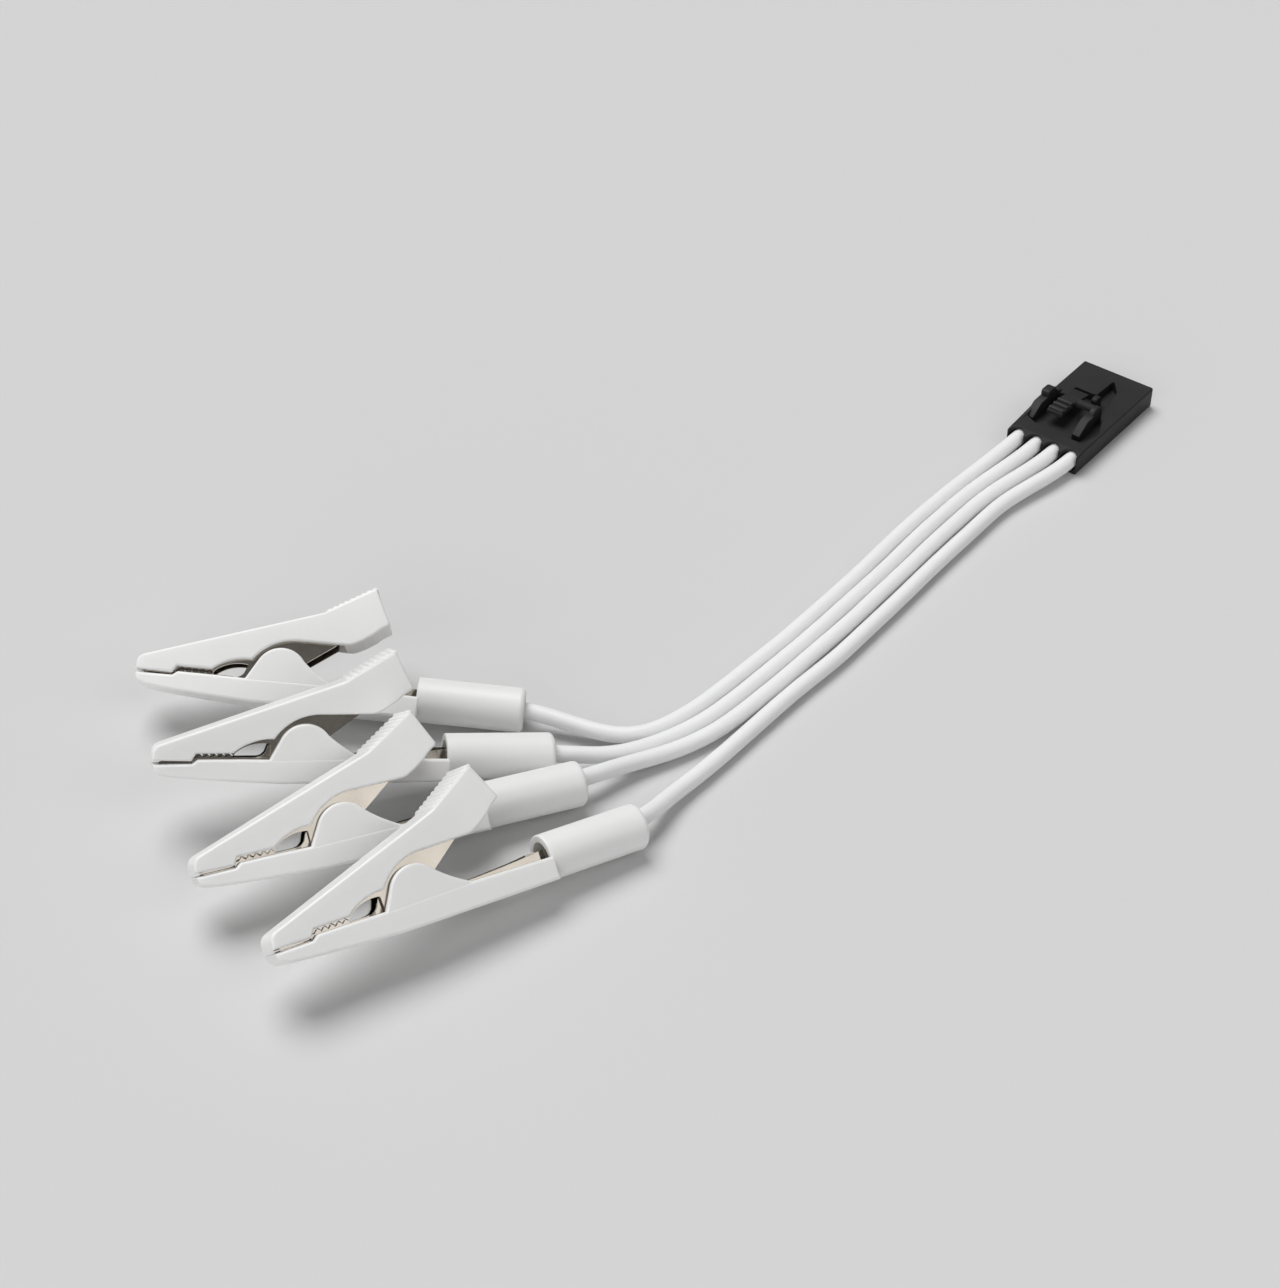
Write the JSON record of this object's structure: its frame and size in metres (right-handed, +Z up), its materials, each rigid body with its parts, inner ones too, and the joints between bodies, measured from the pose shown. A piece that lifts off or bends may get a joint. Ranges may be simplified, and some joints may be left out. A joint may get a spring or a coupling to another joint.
{
  "type": "alligator clip lead",
  "caption": "Lead with insulated alligator clips on soft white wires, all crimped into a black rectangular connector housing with a latch.",
  "frame": {"origin": "middle of the box round the clips and the housing, on the table they lie on", "axes": "+Z up from the table, +X towards the connector along the lead's long way, +Y away from the clips' side"},
  "size_m": [0.1214, 0.1098, 0.0158],
  "materials": {
    "white_shell": "satin moulded",
    "white_silicone": "soft satin",
    "nickel_plate": "nickel plated, stamped",
    "spring_steel": "plain spring wire",
    "tin_plate": "tin plated",
    "black_housing": "matte moulded"
  },
  "bodies": {
    "lead": {"clip_1_lower_shell": "white_shell", "clip_1_lower_jaw": "nickel_plate", "clip_1_pivot_pin": "nickel_plate", "clip_1_spring": "spring_steel", "clip_2_lower_shell": "white_shell", "clip_2_lower_jaw": "nickel_plate", "clip_2_pivot_pin": "nickel_plate", "clip_2_spring": "spring_steel", "clip_3_lower_shell": "white_shell", "clip_3_lower_jaw": "nickel_plate", "clip_3_pivot_pin": "nickel_plate", "clip_3_spring": "spring_steel", "clip_4_lower_shell": "white_shell", "clip_4_lower_jaw": "nickel_plate", "clip_4_pivot_pin": "nickel_plate", "clip_4_spring": "spring_steel", "wire_1": "white_silicone", "wire_2": "white_silicone", "wire_3": "white_silicone", "wire_4": "white_silicone", "terminal_1": "tin_plate", "terminal_2": "tin_plate", "terminal_3": "tin_plate", "terminal_4": "tin_plate", "connector_housing": "black_housing"},
    "clip_1_lever": {"clip_1_upper_shell": "white_shell", "clip_1_upper_jaw": "nickel_plate"},
    "clip_2_lever": {"clip_2_upper_shell": "white_shell", "clip_2_upper_jaw": "nickel_plate"},
    "clip_3_lever": {"clip_3_upper_shell": "white_shell", "clip_3_upper_jaw": "nickel_plate"},
    "clip_4_lever": {"clip_4_upper_shell": "white_shell", "clip_4_upper_jaw": "nickel_plate"},
    "latch": {"latch_lever": "black_housing"}
  },
  "joints": [
    {"name": "clip_1_hinge", "type": "hinge", "parent": "lead", "child": "clip_1_lever", "pos_m": [-0.04469, -0.01069, 0.00543], "axis": [-0.0349, 0.6231, -0.7813], "range_deg": [0, 26], "stiffness_Nm_per_rad": 0.003, "springref_deg": -28.65, "deforming": ["clip_1_spring"]},
    {"name": "clip_2_hinge", "type": "hinge", "parent": "lead", "child": "clip_2_lever", "pos_m": [-0.04084, -0.02437, 0.00728], "axis": [-0.2378, 0.7668, -0.5962], "range_deg": [0, 26], "stiffness_Nm_per_rad": 0.003, "springref_deg": -28.65, "deforming": ["clip_2_spring"]},
    {"name": "clip_3_hinge", "type": "hinge", "parent": "lead", "child": "clip_3_lever", "pos_m": [-0.0362, -0.0349, 0.00564], "axis": [-0.3604, 0.6441, -0.6747], "range_deg": [0, 26], "stiffness_Nm_per_rad": 0.003, "springref_deg": -28.65, "deforming": ["clip_3_spring"]},
    {"name": "clip_4_hinge", "type": "hinge", "parent": "lead", "child": "clip_4_lever", "pos_m": [-0.0283, -0.04451, 0.00617], "axis": [-0.438, 0.544, -0.7157], "range_deg": [0, 26], "stiffness_Nm_per_rad": 0.003, "springref_deg": -28.65, "deforming": ["clip_4_spring"]},
    {"name": "latch_flexure", "type": "hinge", "parent": "lead", "child": "latch", "pos_m": [0.05265, 0.04937, 0.0026], "axis": [0.7875, -0.6163, 0], "range_deg": [0, 2.2], "stiffness_Nm_per_rad": 0.00009, "springref_deg": -17.19}
  ]
}
